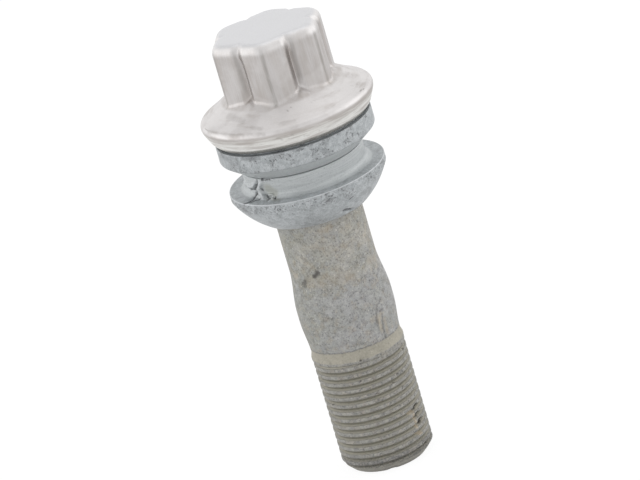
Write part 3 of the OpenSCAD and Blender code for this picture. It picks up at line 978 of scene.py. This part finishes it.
def zincSteel(c, loose):
    b = Board("ringZinc" if loose else "collarZinc")
    p = b.place()
    x, y, z = b.parts(p)
    r = (x * x + y * y) ** 0.5
    cloud, blot, grain, speck = b.patterns(p, c["noise"])
    line = b.noise(b.joined(x * 0.3, y * 0.3, z * 6 + r * 4), 1.0, 2)  # turning marks
    dark = b.layer("dark")
    colour = b.tint(b.rise(blot, 0.35, 0.68), tones["zinc"], tones["zincPale"])
    colour = b.tint(b.rise(cloud, 0.5, 0.65) * 0.25, colour, tones["zincDark"])
    colour = b.tint(b.fall(grain, 0.28, 0.5, 0.55), colour, tones["zincDark"])
    colour = b.tint(b.rise(grain, 0.54, 0.75, 0.0, 0.5), colour, tones["zincSpark"])
    plain = b.tint(b.rise(line, 0.4, 0.65) * 0.4, tones["zincNeck"], tones["zinc"])
    plain = b.tint(b.fall(grain, 0.28, 0.5, 0.3), plain, tones["zincDark"])
    if loose:
        smooth = b.fall(r, *c["neckR"]) * b.rise(z, *c["neckZ"])
        crowd = b.band(z, *c["crowdZ"]) * 1.4
    else:
        smooth = b.fall(z, *c["coneZ"])
        crowd = b.rise(z, *c["bandZ"]) * b.rise(cloud, 0.42, 0.58)
    limit = 0.335 + crowd * 0.085 + (cloud - 0.5) * 0.25
    specks = b.rise(limit - speck, 0.0, 0.05) * (1.0 - smooth)
    colour = b.tint(smooth, colour, plain)
    colour = b.tint(specks * 0.8, colour, tones["zincDark"])
    if loose:
        # Painted highlight along the rim's edge
        edge = b.rise(z, *c["edgeZ"]) * b.rise(r, *c["edgeR"])
        colour = b.tint(edge * 0.6, colour, tones["zincRimHighlight"])
        colour = b.tint(b.layer("green"), colour, tones["zincGreen"])
    # pale: rubs, and on the ring a painted highlight along the flap's folds; dark: nicks and smears, and on
    # the ring a painted shadow along the flap's furrows
    colour = b.tint(b.layer("pale"), colour, tones["zincRubAndHighlight"])
    colour = b.tint(dark, colour, tones["zincNickAndShadow"])
    height = (grain * 0.035 + blot * 0.04 - specks * 0.05) * (1.0 - smooth) + line * 0.02 - dark * 0.12
    return b.finish(colour, c["roughness"], b.bump(height, metre, 0.8), c["metallic"])


# Bare steel of the cap
satin = {
    "noise": {"soft": (0.22, 3, 0.55), "grain": (4.0, 2, 0.7)},
    "wallR": (9.4, 10.0),
    "underTop": (-1.2, -0.3),  # from the top down, where the walls end
    "edgeHighlightTop": (-2.0, -1.0),  # the painted highlight along the top edge
    "flatTop": (-0.5, -0.05),
    "edgeHighlightR": (12.0, 12.5),
    "fluteShadeLine": ((0.385, 0.425), (0.45, 0.48)),  # shares of the way from corner to corner
    "cornerLine": (0.005, 0.045),
    "uprightZ": (65.6, 67.2),
    "skirtZ": (60.4, 60.8),
    "shadeZ": ((59.8, 60.2), (60.75, 61.2)),
    "shadeR": (12.5, 12.8),
    "lipHalf": 0.15,
    "roughness": 0.42,
}


def satinSteel(v, c):
    b = Board("satinSteel")
    p = b.place()
    x, y, z = b.parts(p)
    r = (x * x + y * y) ** 0.5
    down = z - v["topZ"]
    soft, grain = b.patterns(p, c["noise"])
    drawn = b.noise(b.joined(x * 0.7, y * 0.7, z * 0.12), 1.0, 3, 0.5)
    fine = b.noise(b.joined(x * 5, y * 5, z * 0.3), 1.0, 2, 0.6)
    spun = b.noise(b.joined(x * 0.16, y * 0.16, r * 1.6 + z * 1.2), 1.0, 3, 0.6)

    # Walls: upright streaks on a darker tone that is painted shade, painted shade on the walls of the
    # flutes, and darker lines along the corners
    wall = b.tint(b.rise(drawn, 0.4, 0.64) * 0.7, tones["steelDullAndShaded"], tones["steelBrown"])
    wall = b.tint(b.rise(fine, 0.35, 0.65) * 0.4, wall, tones["steelBrown"])
    wall = b.tint(b.rise(soft, 0.45, 0.6) * 0.35, wall, tones["steel"])
    turn = y.maths("ARCTAN2", y, x) / (tau / 6) + 0.5
    share = turn.maths("ABSOLUTE", turn.maths("FRACT", turn) - 0.5)
    # Painted shade on both walls of each flute
    flute = b.band(share, *c["fluteShadeLine"]) * b.rise(z, *c["uprightZ"])
    corner = b.fall(share + (drawn - 0.5) * 0.05, *c["cornerLine"]) * b.rise(fine, 0.3, 0.6, 0.5, 1.0)
    wall = b.tint(b.top(flute * 0.4, corner * 0.6), wall, tones["steelLine"])

    # Flange, skirt and lip: marks run round. The skirt's lighter tone is painted light, the brown shade
    # band above it a painted dark reflection, and the lip is darker below its bend.
    disc = b.tint(b.rise(soft, 0.42, 0.66) * 0.75, tones["steel"], tones["steelDullAndShaded"])
    disc = b.tint(b.rise(spun, 0.48, 0.66) * b.rise(soft, 0.42, 0.6, 0.2, 0.6), disc, tones["steelBrown"])
    skirt = b.tint(b.rise(spun, 0.42, 0.66) * 0.7, tones["steelSkirtLit"], tones["steelBrown"])
    shade = b.band(z, *c["shadeZ"]) * b.rise(r, *c["shadeR"])
    onWall = b.fall(r, *c["wallR"]) * b.fall(down, *c["underTop"])
    lip = b.fall(z - v["bendZ"], -c["lipHalf"], c["lipHalf"])
    colour = b.tint(onWall, disc, wall)
    # Painted light: the lighter tone of the skirt
    colour = b.tint(b.fall(z, *c["skirtZ"]), colour, skirt)
    # Painted dark reflection in a band along the shoulder
    colour = b.tint(shade * b.rise(spun, 0.3, 0.6, 0.3, 0.8), colour, tones["steelBrown"])
    colour = b.tint(lip * b.rise(fine, 0.3, 0.6, 0.3, 0.7), colour, tones["steelLip"])

    # Top, and a painted highlight along its edge
    edgeBand = b.rise(down, *c["edgeHighlightTop"]) * b.fall(r, *c["edgeHighlightR"]) * b.rise(soft, 0.35, 0.55, 0.2, 0.5)
    colour = b.tint(edgeBand, colour, tones["steelEdgeHighlight"])
    colour = b.tint(b.rise(down, *c["flatTop"]) * 0.85, colour, tones["steelTop"])
    colour = b.tint(b.fall(grain, 0.3, 0.7, 0.12), colour, tones["steelBrown"])
    colour = b.tint(b.layer("dark"), colour, tones["steelNick"])
    height = b.tint(onWall, spun, drawn) * 0.035 + grain * 0.01
    return b.finish(colour, c["roughness"], b.bump(height, metre, 0.6), 1.0)


finishes = {
    "threadedShank": coatedSteel(shank, coating),
    "headCollar": zincSteel(zincCoat, False),
    "ballSeatRing": zincSteel(zincCoat, True),
    "drawnCap": satinSteel(cap, satin),
}
for name, material in finishes.items():
    pieces[name][0].data.materials.append(material)
print("finishes made")


# White to the camera, partly white in the metal, grey light on the rest: floor, sky and soft lamps
studio = {
    "floorSize": 3.0,  # metres
    "floorTone": 0.8,
    "floorWhite": 1.08,
    "floorGlow": 0.85,  # share of that white that the camera sees in the floor
    "floorMirrored": 0.3,  # share of it that metal shows
    "skyTone": 0.8,
    "horizonTone": 1.1,
    "horizonTo": (0.3, 0.65),  # height, as the sine of the angle, over which the sky changes tone
    "frontTone": 0.85,  # sky ahead of the bolt, behind the camera
    "frontFrom": (0.7, 0.95),  # cosine of the angle from there, over which it begins
    "skyMirrored": 0.3,  # share of plain white that metal shows in the sky
    "lampAim": 0.04,  # height that the lamps point at
    # Lamps: degrees right of the middle, degrees up, metres away, metres wide, radiance
    "lamps": {
        "topLamp": (140, 72, 0.6, 0.5, 0.3),
        "leftLamp": (-100, 20, 0.7, 0.9, 0.35),
        "rightLamp": (95, 20, 0.7, 0.9, 0.4),
    },
}


def buildFloor(v):
    # One square under the bolt; from below it is clear, so that the thread's end can be seen
    half = v["floorSize"] / 2
    corners = [(-half, -half, 0), (half, -half, 0), (half, half, 0), (-half, half, 0)]
    mesh = bpy.data.meshes.new("floor")
    mesh.from_pydata(corners, [], [(0, 1, 2, 3)])
    floor = bpy.data.objects.new("floor", mesh)
    bpy.context.scene.collection.objects.link(floor)
    b = Board("paleFloor")
    plain = b.add("ShaderNodeBsdfDiffuse", None, {"Color": (*[v["floorTone"]] * 3, 1)})
    white = b.add("ShaderNodeEmission", None, {"Color": (1, 1, 1, 1), "Strength": v["floorWhite"]})
    clear = b.add("ShaderNodeBsdfTransparent")
    above = b.mixed(b.seen(v["floorGlow"], v["floorMirrored"]), plain, white)
    below = b.add("ShaderNodeNewGeometry", out="Backfacing")
    mesh.materials.append(b.end(b.mixed(below, above, clear)))


def buildLamp(name, aimZ, degrees, up, away, width, radiance):
    # A round soft lamp; its power is its radiance times its area times pi
    data = bpy.data.lights.new(name, "AREA")
    data.shape = "DISK"
    data.size = width
    data.energy = radiance * math.pi * math.pi * width ** 2 / 4
    lamp = bpy.data.objects.new(name, data)
    ray = Vector(spot(degrees, math.cos(math.radians(up)), math.sin(math.radians(up))))
    lamp.location = Vector((0, 0, aimZ)) + ray * away
    lamp.rotation_euler = (-ray).to_track_quat("-Z", "Y").to_euler()
    bpy.context.scene.collection.objects.link(lamp)


def buildSky(v):
    # The camera sees plain white; the object is lit by a sky that is paler near the horizon
    b = Board("studio", bpy.data.worlds)
    bpy.context.scene.world = b.material
    way = b.parts(b.add("ShaderNodeTexCoord", out="Generated"))
    ahead = way[0] * math.cos(facing(0)) + way[1] * math.sin(facing(0))
    tone = b.rise(way[2], *v["horizonTo"], v["horizonTone"], v["skyTone"])
    tone = tone - b.rise(ahead, *v["frontFrom"]) * (v["horizonTone"] - v["frontTone"])
    lit = b.add("ShaderNodeBackground", None, {"Color": b.joined(tone, tone, tone)})
    white = b.add("ShaderNodeBackground", None, {"Color": (1, 1, 1, 1)})
    b.end(b.mixed(b.seen(1.0, v["skyMirrored"]), lit, white), "ShaderNodeOutputWorld")


buildFloor(studio)
buildSky(studio)
for lampName, lampPlace in studio["lamps"].items():
    buildLamp(lampName, studio["lampAim"], *lampPlace)
bpy.context.scene.view_settings.view_transform = "Standard"
print("studio ready")
